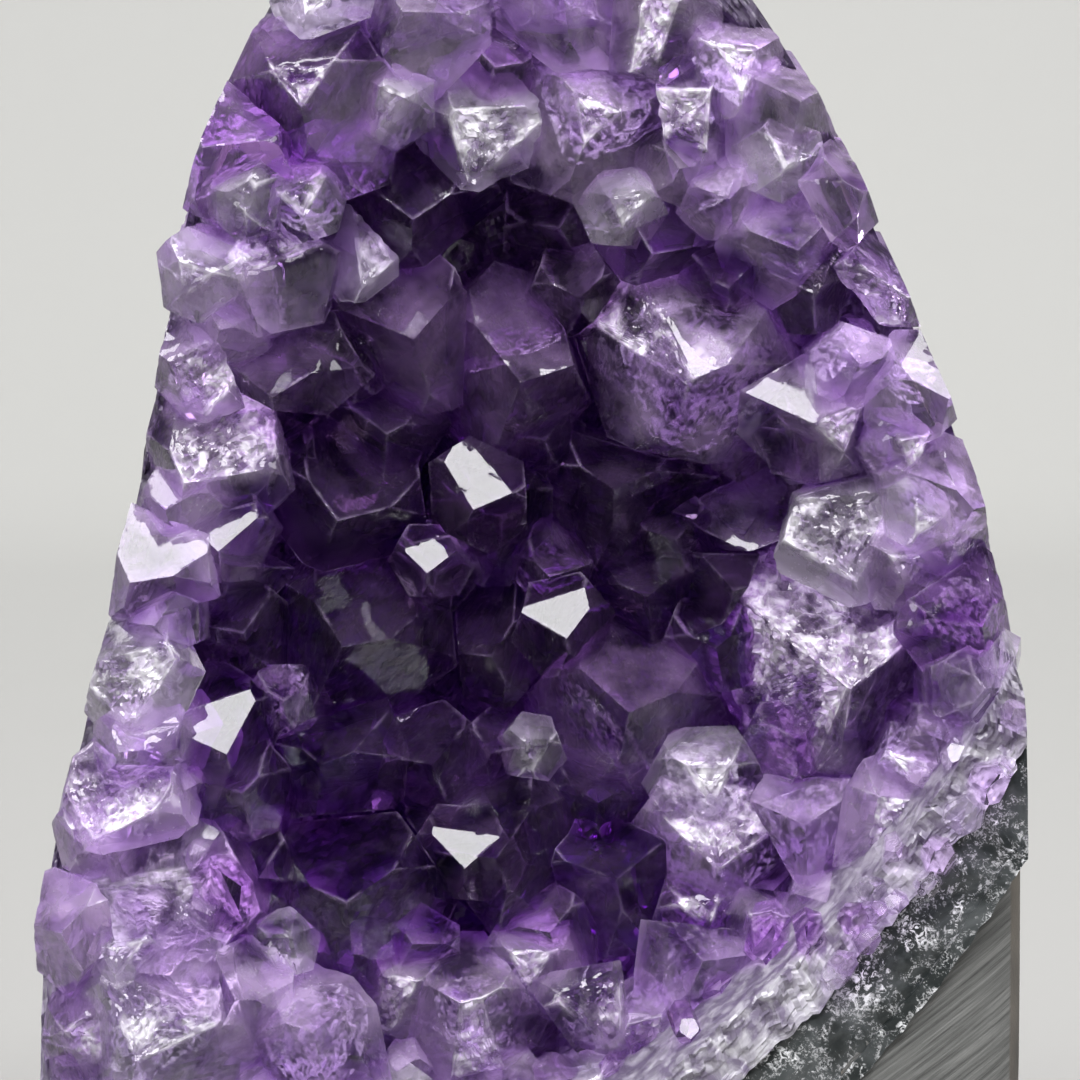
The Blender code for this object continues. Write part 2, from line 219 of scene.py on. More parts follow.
def ring_faces(rings, around):
    """Quads between closed rings of points, ring after ring."""
    ring, step = np.meshgrid(np.arange(rings - 1), np.arange(around), indexing="ij")
    a, b = ring * around + step, ring * around + (step + 1) % around
    return np.stack([a, b, b + around, a + around], -1).reshape(-1, 4)


# ---- Crystals ----------------------------------------------------------------------------------

def corners_of(planes):
    """The corners of the convex solid inside planes, each (nx, ny, nz, distance), and for every
    corner and plane whether they meet. Corners closer than a few hundredths are made one."""
    trios = np.array(list(itertools.combinations(range(len(planes)), 3)))
    normals = planes[trios, :3]
    clear = np.abs(np.linalg.det(normals)) > 1e-3
    found = np.linalg.solve(normals[clear], planes[trios[clear], 3][..., None])[..., 0]
    inside = (found @ planes[:, :3].T <= planes[:, 3] + 2e-3).all(axis=1)
    kept, meets = [], []
    for corner, trio in zip(found[inside], trios[clear][inside]):
        far = np.abs(np.array(kept) - corner).max(axis=1) if kept else np.array([1.0])
        if far.min() > 0.02:
            kept.append(corner)
            meets.append(np.zeros(len(planes), bool))
            meets[-1][trio] = True
        else:
            meets[far.argmin()][trio] = True
    return np.array(kept), np.array(meets)


def planes_of(node):
    """The planes of a crystal of the design, one for each of its flat faces, in drawing millimetres."""
    mesh = frame["nodes"][node].data
    mesh.calc_loop_triangles()
    place = np.empty(len(mesh.vertices) * 3, np.float32)
    mesh.vertices.foreach_get("co", place)
    index = np.empty(len(mesh.loop_triangles) * 3, np.int32)
    mesh.loop_triangles.foreach_get("vertices", index)
    corners = place.reshape(-1, 3)[index.reshape(-1, 3)].astype(float) / MM - SHIFT
    across = np.cross(corners[:, 1] - corners[:, 0], corners[:, 2] - corners[:, 0])
    area = np.linalg.norm(across, axis=1)
    found = []
    for k in np.argsort(-area):
        if area[k] < 1e-4:
            break
        normal, middle = across[k] / area[k], corners[k].mean(axis=0)
        if all(normal @ other[:3] < 0.9995 or abs(middle @ other[:3] - other[3]) > 0.05 for other in found):
            found.append((*normal, normal @ middle))
    return np.array(found)


def crystal_planes(tip, axis, radius, length, turn, chance):
    """The planes of a whole crystal: six prism faces, six faces of its point, and its root."""
    axis = np.asarray(axis, float) / np.linalg.norm(axis)
    tip = np.asarray(tip, float)
    side = np.cross(axis, (0, 0, 1.0))
    side /= np.linalg.norm(side)
    other = np.cross(axis, side)
    planes = []
    for k in range(6):
        angle = math.radians(turn + 60 * k)
        outward = side * math.cos(angle) + other * math.sin(angle)
        planes.append((*outward, outward @ tip + radius * chance.uniform(0.85, 1.1)))
        slope = outward * math.sin(POINT_ANGLE) + axis * math.cos(POINT_ANGLE)
        set_out = 0.0 if k % 2 == 0 else radius * chance.uniform(0.1, 0.35)
        planes.append((*slope, slope @ tip + set_out))
    planes.append((*-axis, -axis @ tip + length))
    return np.array(planes)


def polygons_of(planes, corners, meets):
    """The number of each plane that has a facet, and the facet: its corners in turn round their
    middle."""
    found = []
    for number, (normal, on) in enumerate(zip(planes[:, :3], meets.T)):
        if on.sum() < 3:
            continue
        middle = corners[on].mean(axis=0)
        away = corners[on] - middle
        turn = np.arctan2(away @ np.cross(normal, away[0]), away @ away[0])
        found.append((number, corners[on][np.argsort(turn)]))
    return found


def edge_samples(start, end, step):
    """Points along an edge, the same from whichever end it is asked for, without the last one."""
    swap = tuple(start) > tuple(end)
    low, high = (end, start) if swap else (start, end)
    count = max(1, round(float(np.linalg.norm(high - low)) / step))
    share = np.linspace(0, 1, count + 1)[:, None]
    points = low + share * (high - low)
    return (points[::-1] if swap else points)[:-1]


def facet(polygon, normal, step, finer):
    """A flat facet as rings that grow from its middle to its border, which has a point every step,
    so that it meets its neighbours'. Returns the points, each one's distance from the border, and
    its quads and triangles."""
    border = np.concatenate([edge_samples(a, b, step) for a, b in zip(polygon, np.roll(polygon, -1, 0))])
    middle = polygon.mean(axis=0)
    rings = max(2, round(float(np.linalg.norm(polygon - middle, axis=1).mean()) / (step * finer)))
    share = np.arange(1, rings + 1) / rings
    points = middle + share[:, None, None] * (border - middle)
    points[-1] = border
    points = np.concatenate([[middle], points.reshape(-1, 3)])
    inward = np.cross(normal, np.roll(polygon, -1, 0) - polygon)
    inward /= np.linalg.norm(inward, axis=1)[:, None] + 1e-12
    inset = (np.einsum("pi,ei->pe", points, inward) - np.einsum("ei,ei->e", polygon, inward)).min(axis=1)
    inset[-len(border):] = 0.0
    quads = ring_faces(rings, len(border)) + 1
    step_on = np.arange(len(border))
    hub = np.stack([np.zeros_like(step_on), (step_on + 1) % len(border) + 1, step_on + 1], -1)
    return points, np.maximum(inset, 0.0), quads, hub


def crystal_surface(planes, broken, step, seed):
    """A crystal's surface: its flat facets with low growth steps, edges with small chips, and
    shards of broken quartz on the broken planes, as heights along each facet's normal."""
    corners, meets = corners_of(planes)
    heart = corners.mean(axis=0)
    points, marks, quads, triangles, count = [], [], [], [], 0
    for number, polygon in polygons_of(planes, corners, meets):
        normal = planes[number, :3]
        rough = number in broken
        place, inset, quad, hub = facet(polygon, normal, step, 0.6 if rough else 1.0)
        rise = np.minimum(1.0, inset / 0.8)
        if rough:
            height = 0.6 * shards(place, 2.2, seed + 1) + 0.34 * shards(place, 0.85, seed + 2) - 0.3
            place = place + normal * (height * rise)[:, None]
        else:
            terrace = np.floor(3 * cloud(place, 4.5, seed + 3)) / 3
            place = place + normal * (0.02 * terrace * rise)[:, None]
        near_edge = np.exp(-inset / 0.5)
        near_break = np.zeros(len(place))
        for other in broken:
            gap = planes[other, 3] - place @ planes[other, :3]
            near_break = np.maximum(near_break, np.exp(-np.abs(gap) / 0.7))
        worn = np.maximum(0.0, cloud(place, 1.3, seed) - 0.25) * WEAR
        worn = worn + near_break * (0.3 + 0.35 * cloud(place, 0.8, seed + 4))
        inwards = heart - place
        inwards /= np.linalg.norm(inwards, axis=1)[:, None]
        place = place + inwards * (worn * near_edge)[:, None]
        points.append(place)
        milk = 0.45 + 0.9 * cloud(place, 2.6, seed + 5) + 0.5 * cloud(place, 0.8, seed + 6)
        share = 1.0 if rough else 0.8 * near_break * near_edge + 0.35 * (inset < 0.01)
        marks.append(np.clip(milk, 0.0, 1.0) * share)
        quads.append(quad + count)
        triangles.append(hub + count)
        count += len(place)
    faces = [np.concatenate(quads), np.concatenate(triangles)]
    return np.concatenate(points), faces, np.concatenate(marks)


# ---- Finishes ----------------------------------------------------------------------------------

def new_group(name, inputs, outputs):
    """An empty shader node group with number inputs and outputs of a given kind."""
    group = bpy.data.node_groups.new(name, "ShaderNodeTree")
    for label, value in inputs.items():
        group.interface.new_socket(label, in_out="INPUT", socket_type="NodeSocketFloat").default_value = value
    for label, kind in outputs.items():
        group.interface.new_socket(label, in_out="OUTPUT", socket_type=kind)
    return group, group.nodes.new("NodeGroupInput"), group.nodes.new("NodeGroupOutput")


def node(tree, kind, settings=None, **inputs):
    """A shader node with its settings, and with its inputs set to values or linked to sockets. An
    input's name has _ for a space, and _0 is the first input."""
    made = tree.nodes.new("ShaderNode" + kind)
    for label, value in (settings or {}).items():
        setattr(made, label, value)
    for label, value in inputs.items():
        key = int(label[1:]) if label[0] == "_" else label.replace("_", " ")
        if isinstance(value, bpy.types.NodeSocket):
            tree.links.new(value, made.inputs[key])
        else:
            made.inputs[key].default_value = value
    return made


def group_node(tree, group, **inputs):
    return node(tree, "Group", {"node_tree": group}, **inputs)


def math_node(tree, operation, first, second):
    return node(tree, "Math", {"operation": operation}, _0=first, _1=second).outputs[0]


def times(tree, first, second):
    return math_node(tree, "MULTIPLY", first, second)


def place_of(tree):
    return node(tree, "TexCoord").outputs["Object"]


def mark_of(tree):
    return node(tree, "Attribute", {"attribute_name": "mark"}).outputs["Fac"]


def veils_group():
    """Milky veils: a mask from a warped noise, cut between Low and High."""
    group, given, out = new_group("veils", {"Scale": 100.0, "Low": 0.45, "High": 0.65},
                                  {"Mask": "NodeSocketFloat"})
    place = place_of(group)
    noise = node(group, "TexNoise", Vector=place, Scale=given.outputs["Scale"], Detail=5.0,
                 Roughness=0.62, Distortion=1.2)
    mask = node(group, "MapRange", Value=noise.outputs["Fac"], From_Min=given.outputs["Low"],
                From_Max=given.outputs["High"])
    group.links.new(mask.outputs["Result"], out.inputs["Mask"])
    return group


def specks_group():
    """White specks and dust: small round dots, only where a coarse noise allows them."""
    group, given, out = new_group("specks", {"Scale": 900.0, "Size": 0.2, "Cover": 0.5},
                                  {"Mask": "NodeSocketFloat"})
    place = place_of(group)
    dots = node(group, "TexVoronoi", Vector=place, Scale=given.outputs["Scale"])
    patch = node(group, "TexNoise", Vector=place, Scale=90.0, Detail=3.0)
    allowed = math_node(group, "LESS_THAN", patch.outputs["Fac"], given.outputs["Cover"])
    dot = math_node(group, "LESS_THAN", dots.outputs["Distance"], given.outputs["Size"])
    group.links.new(times(group, dot, allowed), out.inputs["Mask"])
    return group


def glitter_group():
    """The normal of sugary quartz: each small cell leans its own way, by Strength."""
    group, given, out = new_group("glitter", {"Scale": 900.0, "Strength": 0.3},
                                  {"Normal": "NodeSocketVector"})
    place = place_of(group)
    cells = node(group, "TexVoronoi", Vector=place, Scale=given.outputs["Scale"])
    lean = node(group, "VectorMath", {"operation": "SUBTRACT"}, _0=cells.outputs["Color"], _1=(0.5, 0.5, 0.5))
    lean = node(group, "VectorMath", {"operation": "SCALE"}, _0=lean.outputs[0],
                Scale=given.outputs["Strength"])
    normal = node(group, "NewGeometry").outputs["Normal"]
    normal = node(group, "VectorMath", {"operation": "ADD"}, _0=normal, _1=lean.outputs[0])
    normal = node(group, "VectorMath", {"operation": "NORMALIZE"}, _0=normal.outputs[0])
    group.links.new(normal.outputs[0], out.inputs["Normal"])
    return group


VEILS, SPECKS, GLITTER = veils_group(), specks_group(), glitter_group()


def cloudy_mask(tree, scale, low, high):
    return group_node(tree, VEILS, Scale=scale, Low=low, High=high).outputs["Mask"]


def mix(tree, share, first, second):
    """A colour mixed from two by share."""
    made = node(tree, "Mix", {"data_type": "RGBA"}, _0=share, _6=first, _7=second)
    return made.outputs[2]


def rgb(red, green, blue):
    return (red, green, blue, 1.0)


def new_material(name):
    """A material and its tree, Principled shader and output."""
    made = bpy.data.materials.new(name)
    made.use_nodes = True
    tree = made.node_tree
    return made, tree, tree.nodes["Principled BSDF"], tree.nodes["Material Output"]


def crystal_material(name, face, milk, film, tint, density, frost):
    """Quartz: clear glass that absorbs light by a tint on its way through it, so that thick parts
    are dark, under a cloudy film of a given share, milky white where it is broken, with dust specks.
    A lamp's light passes its surface, and is coloured by what it goes through."""
    made, tree, glass, output = new_material(name)
    broken = mark_of(tree)
    place = place_of(tree)
    haze = cloudy_mask(tree, 90.0, 0.5, 0.75)
    tree.links.new(mix(tree, haze, rgb(*face), rgb(*(0.85 * c for c in face))), glass.inputs["Base Color"])
    dull = times(tree, haze, frost)
    dull = math_node(tree, "ADD", dull, times(tree, broken, 0.15))
    tree.links.new(math_node(tree, "ADD", dull, 0.012), glass.inputs["Roughness"])
    wave = node(tree, "TexNoise", Vector=place, Scale=160.0, Detail=3.0)
    lines = node(tree, "Mapping", {"vector_type": "TEXTURE"}, Vector=place,
                 Rotation=(0.5, math.radians(28), 0.0), Scale=(1 / 90, 1 / 90, 1 / 1800))
    lines = node(tree, "TexNoise", Vector=lines.outputs[0], Scale=1.0, Detail=3.0)
    wave = math_node(tree, "ADD", wave.outputs["Fac"], times(tree, lines.outputs["Fac"], 0.5))
    chipped = group_node(tree, GLITTER, Scale=1500.0, Strength=times(tree, broken, 0.7))
    bump = node(tree, "Bump", Strength=0.06, Distance=0.0002, Height=wave, Normal=chipped.outputs["Normal"])
    tree.links.new(bump.outputs["Normal"], glass.inputs["Normal"])
    glass.inputs["IOR"].default_value = 1.544
    glass.inputs["Transmission Weight"].default_value = 1.0
    white = node(tree, "BsdfPrincipled", Roughness=0.3, IOR=1.544)
    sugar = cloudy_mask(tree, 900.0, 0.37, 0.58)
    sugar = times(tree, sugar, broken)
    specks = group_node(tree, SPECKS, Scale=1700.0, Size=0.13, Cover=0.47).outputs["Mask"]
    colour = mix(tree, sugar, rgb(*milk), rgb(0.94, 0.93, 0.96))
    tree.links.new(mix(tree, specks, colour, rgb(0.95, 0.95, 0.97)), white.inputs["Base Color"])
    glitter = group_node(tree, GLITTER, Scale=1300.0, Strength=times(tree, broken, 0.8))
    tree.links.new(glitter.outputs["Normal"], white.inputs["Normal"])
    cloudy = node(tree, "TexNoise", Vector=place, Scale=110.0, Detail=5.0, Roughness=0.6)
    cloudy = node(tree, "MapRange", Value=cloudy.outputs["Fac"], From_Min=0.4, From_Max=0.64,
                  To_Min=0.15 * film, To_Max=2.0 * film).outputs["Result"]
    share = math_node(tree, "MAXIMUM", cloudy, times(tree, broken, 0.75))
    surface = node(tree, "MixShader", _0=share, _1=glass.outputs[0], _2=white.outputs[0])
    lamp = node(tree, "LightPath").outputs["Is Shadow Ray"]
    passing = node(tree, "BsdfTransparent", Color=rgb(0.8, 0.76, 0.84))
    surface = node(tree, "MixShader", _0=lamp, _1=surface.outputs[0], _2=passing.outputs[0])
    tree.links.new(surface.outputs[0], output.inputs["Surface"])
    soak = node(tree, "VolumeAbsorption", Color=rgb(*tint), Density=density)
    tree.links.new(soak.outputs[0], output.inputs["Volume"])
    return made


# Each finish: colour at its surface, colour and share of its milky film, tint and density of its
# inside, and how dull its cloudy places are.
LOOKS = {
    "deep_amethyst": ((0.93, 0.87, 0.97), (0.26, 0.15, 0.36), 0.04, (0.6, 0.22, 0.76), 220.0, 0.03),
    "amethyst": ((0.95, 0.89, 0.98), (0.38, 0.23, 0.5), 0.1, (0.58, 0.12, 0.77), 145.0, 0.06),
    "pale_amethyst": ((0.95, 0.91, 0.98), (0.52, 0.39, 0.62), 0.2, (0.54, 0.18, 0.74), 92.0, 0.15),
    "clear_quartz": ((0.97, 0.96, 0.98), (0.56, 0.52, 0.6), 0.2, (0.55, 0.35, 0.7), 30.0, 0.15),
}
FINISHES = {name: crystal_material(name, *look) for name, look in LOOKS.items()}


# ---- Pieces: the crystals of the design --------------------------------------------------------

# Where a crystal is broken: the way the break faces, and how deep it cuts in from outside.
BREAKS = {
    "right_rim_crystal_01": [((-0.8, -0.55, -0.2), 4.5), ((-0.1, -0.6, 0.8), 3.5)],
    "right_rim_crystal_02": [((-0.55, -0.75, 0.35), 2.5)],
    "right_rim_crystal_10": [((0.0, -0.95, 0.3), 3.5)],
    "right_rim_crystal_11": [((-0.1, -0.9, 0.4), 3.5)],
    "right_rim_crystal_12": [((0.3, -0.9, -0.3), 2.0)],
    "left_rim_crystal_04": [((0.1, -0.9, 0.3), 3.0)],
    "left_rim_crystal_05": [((0.1, -0.98, 0.15), 4.5)],
    "left_rim_crystal_07": [((-0.2, -0.95, 0.2), 3.5)],
    "crown_crystal_04": [((0.2, -0.95, -0.1), 3.5)],
    "crown_crystal_09": [((0.0, -0.95, 0.3), 2.0)],
    "hollow_crystal_11": [((0.0, -0.7, 0.7), 3.0)],
    "lip_crystal_01": [((0.1, -0.85, 0.5), 3.5)],
}

# The share of the other crystals of each finish that are broken too.
BREAKS_OF_FINISH = {"deep_amethyst": 0.0, "amethyst": 0.15, "pale_amethyst": 0.45, "clear_quartz": 1.0}

# Facets that face between the front and the light above, so that they shine: across, up, and how
# far in the facet is cut.
GLINTS = [(-32.5, 56.5, 1.0), (30, 89, 0.9), (23.5, 89, 0.7), (23, 73.5, 0.8), (17, 76, 0.6),
          (-31.5, 37, 0.7)]
GLINT_FACES = np.array([0.02, -0.81, 0.59]) / np.linalg.norm([0.02, -0.81, 0.59])


def break_planes(planes, breaks):
    """The planes with one more for each break, and the numbers of the broken ones."""
    corners, _ = corners_of(planes)
    broken = []
    for direction, depth in breaks:
        normal = np.array(direction) / np.linalg.norm(direction)
        broken.append(len(planes))
        planes = np.vstack([planes, (*normal, (corners @ normal).max() - depth)])
    return planes, broken


def front_of(planes, x, z):
    """The y where a line along +Y at (x, z) enters a crystal, or infinity where it misses it."""
    slope = planes[:, 1]
    room = planes[:, 3] - planes[:, 0] * x - planes[:, 2] * z
    if (room[np.abs(slope) < 1e-9] < 0).any():
        return np.inf
    facing, away = slope < -1e-9, slope > 1e-9
    enter = (room[facing] / slope[facing]).max()
    leave = (room[away] / slope[away]).min()
    return enter if enter < leave else np.inf


def add_crystals():
    """Every crystal of the design, with fine facets in place of its plain ones."""
    slots = {row["node"]: row["material_slot"] for row in frame["record"]["subparts"]}
    names = sorted(name for name in frame["nodes"] if "crystal" in name)
    planes = {name: planes_of(name) for name in names}
    for x, z, inset in GLINTS:
        name = min(names, key=lambda name: front_of(planes[name], x, z))
        y = front_of(planes[name], x, z)
        if np.isfinite(y):
            row = (*GLINT_FACES, GLINT_FACES @ (x, y, z) - inset)
            planes[name] = np.vstack([planes[name], row])
    chance = np.random.default_rng(29)
    grown = {}
    for seed, name in enumerate(names):
        slot = slots[name]
        breaks = BREAKS.get(name, [])
        if not breaks and chance.uniform() < BREAKS_OF_FINISH[slot]:
            direction = (chance.normal(0, 0.45), -0.9, chance.normal(0.1, 0.45))
            breaks = [(direction, chance.uniform(1.2, 3.2))]
        shape, broken = break_planes(planes[name], breaks)
        points, faces, marks = crystal_surface(shape, broken, FINE_STEP, seed)
        add_piece("fine_" + name, points, faces, FINISHES[slot], marks, replaced=[name], slot=slot)
        grown[name] = (shape, slot)
    return grown


# ---- Pieces: the smaller crystals --------------------------------------------------------------

# Smaller crystals that stand between the large ones: across, up, radius, how far the tip stands
# off the druse, lean to the right and upwards, and 1 where it is broken or 2 where its tip is one
# shining facet.
BETWEEN = {
    "deep_amethyst": [
        (3, 106, 6, 11, 0, -8, 0), (-14.5, 85, 6, 13, 2, 0, 0), (-29, 65, 6, 11, 8, 2, 0),
        (-10, 71, 4.5, 13, 2, 4, 0), (-29, 49, 5.5, 12, 6, 8, 0), (12, 68, 6, 12, 0, 2, 0),
        (19, 63, 5, 13, -4, 2, 0), (-10, 51, 6.5, 13, 0, 8, 0), (7, 47, 6, 13, 2, 8, 0),
        (-29, 40, 5.5, 13, 4, 8, 0), (28, 84, 4.5, 12, -4, 0, 0), (-18, 92, 4.5, 12, 4, -4, 0),
        (1.5, 84, 4.5, 11, 2, 2, 0), (15, 74, 4.5, 12, 0, 0, 0), (-26, 83, 4, 11, 4, 0, 0),
        (-5, 79, 5.5, 19, 2, 4, 2), (-6.5, 42.5, 5, 17, 2, 8, 2), (3.5, 65.5, 5, 17, 4, 4, 2),
        (-10.5, 72, 4, 16, -2, 4, 2),
        (20, 100, 4.5, 13, 2, -6, 0), (28.5, 99.5, 5, 12, 4, -4, 0), (-4, 52, 4, 12, 2, 4, 0),
    ],
    "amethyst": [
        (-31.5, 75, 5, 13, -4, 4, 2), (2, 70, 6, 12, 2, 2, 0), (2, 34, 5, 13, 0, 10, 0),
        (-25, 58, 4, 12, 4, 4, 0),
        (-12, 33, 4.5, 12, 0, 10, 0), (27, 54, 4.5, 13, -2, 6, 0), (5, 99, 4.5, 14, 2, -8, 0),
        (-19, 113, 4.5, 13, -4, -2, 0), (18, 36.5, 4.5, 13, 2, 10, 0), (-3.5, 122, 4.5, 11, 0, 4, 0),
    ],
    "pale_amethyst": [
        (21.5, 123, 5.5, 9, 10, 10, 0), (-37.5, 66.5, 4, 11, -10, 0, 0), (-41, 54, 4.5, 11, -12, 0, 0),
        (20, 109, 4.5, 13, 4, -4, 0), (45.5, 60, 4.5, 10, 10, 2, 0), (40.5, 51, 5, 10, 8, 4, 1),
        (-46, 25, 5, 9, -12, 6, 0), (-29.5, 29, 6, 12, -4, 10, 0), (-14, 29, 5.5, 12, -2, 12, 0),
        (0, 31, 5, 13, 2, 12, 0), (12.5, 24.5, 5.5, 12, 2, 12, 0), (-15, 134, 6, 6, -8, 18, 0),
        (3, 135, 6.5, 6, 2, 20, 0), (12, 133, 5.5, 6, 10, 16, 0), (-31, 96, 4, 11, -10, 0, 0),
        (-36, 31.5, 5, 12, -8, 8, 0), (30.5, 37.5, 4.5, 12, 4, 12, 0), (24, 35, 4.5, 12, 2, 12, 0),
        (-24, 16.5, 6.5, 11, -4, 14, 0), (-4, 17.5, 6.5, 11, 0, 14, 0), (-43, 16, 5.5, 8, -10, 10, 0),
        (37, 40, 4, 10, 6, 10, 0), (43, 54, 4, 10, 10, 4, 0),
        (-36.5, 78, 4, 10, -12, 0, 0), (39, 84, 4, 10, 12, 0, 0), (33, 92.5, 4, 14, 6, 0, 0),
        (38, 72, 4.5, 12, 4, 2, 0), (-45.5, 45, 4, 9, -12, 2, 0), (15, 112, 4, 13, 4, -2, 0),
    ],
    "clear_quartz": [
        (9.5, 108, 4.2, 15, 2, -2, 1), (0.2, 52.5, 3.4, 13, 0, 6, 1), (-14, 119, 4.2, 13, -2, 2, 1),
        (-34, 101.5, 4.5, 11, -12, 0, 1),
        (-23, 109, 4.5, 14, 2, 0, 1), (18.5, 50, 6, 15, 2, 8, 1),
        (23, 25.5, 4.5, 11, 2, 14, 1), (-6, 136, 6, 5, -2, 20, 1), (-34, 15.5, 6, 10, -6, 14, 1),
        (-14, 16.5, 5.5, 11, -2, 14, 0), (6, 18, 5.5, 11, 2, 14, 1), (14, 18, 4.5, 10, 2, 14, 0),
        (-29, 109.5, 4, 12, -10, 2, 1), (40, 77, 4, 12, 6, 2, 1), (-42, 33, 4.5, 11, -10, 6, 1),
        (-25, 34, 3.5, 13, 0, 8, 1), (26, 113, 4, 11, 6, 2, 1),
    ],
}
FILL_TRIES = 4500
FILL_SPACING = 0.95


def add_solids(name, shapes, material, slot, crease=18.0):
    """One piece of several solids, each given as points, faces and marks."""
    starts = np.cumsum([0] + [len(points) for points, _, _ in shapes[:-1]])
    points = np.concatenate([points for points, _, _ in shapes])
    marks = np.concatenate([marks for _, _, marks in shapes])
    faces = [block + start for start, (_, blocks, _) in zip(starts, shapes) for block in blocks]
    add_piece(name, points, faces, material, marks, slot=slot, crease=crease)


def leaning(right, up):
    return np.array([math.sin(math.radians(right)), -1.0, math.sin(math.radians(up))])


def inside_stone(planes):
    """Whether a crystal stays inside the box of the design."""
    corners = corners_of(planes)[0] + SHIFT
    return bool((corners > BOX_LOW + 0.1).all() and (corners < BOX_HIGH - 0.1).all())


def add_between(grown):
    """The crystals of the table, one piece for each finish. One that sticks out of the design's box
    is moved in and made thinner."""
    chance = np.random.default_rng(41)
    for slot, rows in BETWEEN.items():
        shapes = []
        for number, (x, z, radius, stand, right, up, kind) in enumerate(rows):
            axis = leaning(right, up)
            tip = np.array([x, root_surface(x, z) - stand, z + axis[2]])
            planes = crystal_planes(tip, axis, radius, stand + 3, chance.uniform(0, 60), chance)
            for _ in range(4):
                if inside_stone(planes):
                    break
                tip = tip * (0.97, 1, 0.985)
                planes = crystal_planes(tip, axis, radius * 0.9, stand + 3, chance.uniform(0, 60), chance)
            if kind == 2:
                shine = GLINT_FACES + chance.normal(0, 0.025, 3)
                shine /= np.linalg.norm(shine)
                planes = np.vstack([planes, (*shine, shine @ tip - 0.3 * radius)])
            direction = (0.3 * chance.uniform(-1, 1), -0.9, 0.4 * chance.uniform(-1, 1))
            by_chance = chance.uniform() < BREAKS_OF_FINISH[slot]
            breaks = [(direction, 0.3 * radius)] if kind == 1 or (kind == 0 and by_chance) else []
            planes, broken = break_planes(planes, breaks)
            shapes.append(crystal_surface(planes, broken, SMALLER_STEP, 300 + number))
            grown[f"{slot}_{number}"] = (planes, slot)
        add_solids(f"{slot}_between", shapes, FINISHES[slot], slot)


def fan(planes):
    """A plain crystal: each facet is a fan of triangles round its middle."""
    points, triangles, count = [], [], 0
    for _, polygon in polygons_of(planes, *corners_of(planes)):
        step = np.arange(len(polygon))
        triangles.append(count + np.stack([0 * step, step + 1, (step + 1) % len(polygon) + 1], -1))
        points.append(np.concatenate([[polygon.mean(axis=0)], polygon]))
        count += len(polygon) + 1
    points = np.concatenate(points)
    return points, [np.concatenate(triangles)], np.zeros(len(points))


def add_fill(grown):
    """Small crystals all over the druse, wherever no larger crystal covers it."""
    chance = np.random.default_rng(53)
    placed, shapes = [], {slot: [] for slot in FINISHES}
    for number in range(FILL_TRIES):
        x, z, radius = chance.uniform(-49, 49), chance.uniform(8, 139), chance.uniform(1.5, 3.4)
        turn, right, up = chance.uniform(0, 60), chance.normal(0, 14), chance.normal(0, 14)
        pick = chance.uniform()
        if number % 2:
            z = float(band_top(x)) + chance.uniform(0, 1) * (druse_foot(x) - band_top(x) + 6.0)
            radius *= 0.75
        if z < band_top(x) + 0.6 * radius:
            continue
        if not radius - side_at(LEFT_SIDE, z) < x < side_at(RIGHT_SIDE, z) - radius:
            continue
        if any(math.hypot(x - a, z - b) < FILL_SPACING * (radius + c) for a, b, c in placed):
            continue
        stand = radius * 2.4 if z > druse_foot(x) + 5.0 else radius * 1.5 + 1.6
        tip = np.array([x, float(layer_face(x, z, druse_foot, 0.0)) - stand, z])
        if any((planes[:, :3] @ tip - planes[:, 3]).max() < -0.6 for planes, _ in grown.values()):
            continue
        planes = crystal_planes(tip, leaning(right, up), radius, stand + 2.5, turn, chance)
        if not inside_stone(planes):
            continue
        placed.append((x, z, radius))
        reach = reach_at(x, z)
        if reach > 0.3:
            slot = "deep_amethyst" if pick < 0.75 else "amethyst"
        else:
            slot = "pale_amethyst" if pick < 0.75 else "clear_quartz"
        shapes[slot].append(fan(planes))
    for slot, found in shapes.items():
        add_solids(f"{slot}_fill", found, FINISHES[slot], slot)


# ---- Pieces: veils inside the crystals ---------------------------------------------------------

def veil(planes, seed):
    """A crumpled sheet inside a crystal: a disc of rings, waved across, as two skins a hair
    apart that meet at its edge, and drawn in to stay inside the facets."""
    chance = np.random.default_rng(seed)
    corners, _ = corners_of(planes)
    size = (corners.max(axis=0) - corners.min(axis=0)).min()
    heart = corners.mean(axis=0) + chance.uniform(-0.18, 0.18, 3) * size + (0, -0.12 * size, 0)
    u = chance.normal(0, 1, 3)
    u /= np.linalg.norm(u)
    v = np.cross(u, chance.normal(0, 1, 3))
    v /= np.linalg.norm(v)
    w = np.cross(u, v)
    rings, around = 11, 36
    reach = np.linspace(0, 1, rings)[:, None] * np.ones(around)
    turn = np.linspace(0, 2 * math.pi, around, endpoint=False)
    wide, high = chance.uniform(0.3, 0.5) * size, chance.uniform(0.18, 0.4) * size
    disc = heart + (reach * wide * np.cos(turn))[..., None] * u + (reach * high * np.sin(turn))[..., None] * v
    wave = 0.35 * cloud(disc, 3.2, seed) + 0.1 * cloud(disc, 1.3, seed + 1)
    thick = 0.05 * (1 - reach**2)
    top = disc + (wave + thick)[..., None] * w
    under = disc + (wave - thick)[..., None] * w
    points = np.concatenate([top, under[::-1][1:]]).reshape(-1, 3)
    depth = (points - heart) @ planes[:, :3].T
    room = np.maximum(planes[:, 3] - planes[:, :3] @ heart, 0.3)
    outward = (depth / room).max(axis=1)
    points = heart + (points - heart) * np.minimum(1.0, 0.88 / np.maximum(outward, 1e-6))[:, None]
    return points, [ring_faces(2 * rings - 1, around)], np.zeros(len(points))


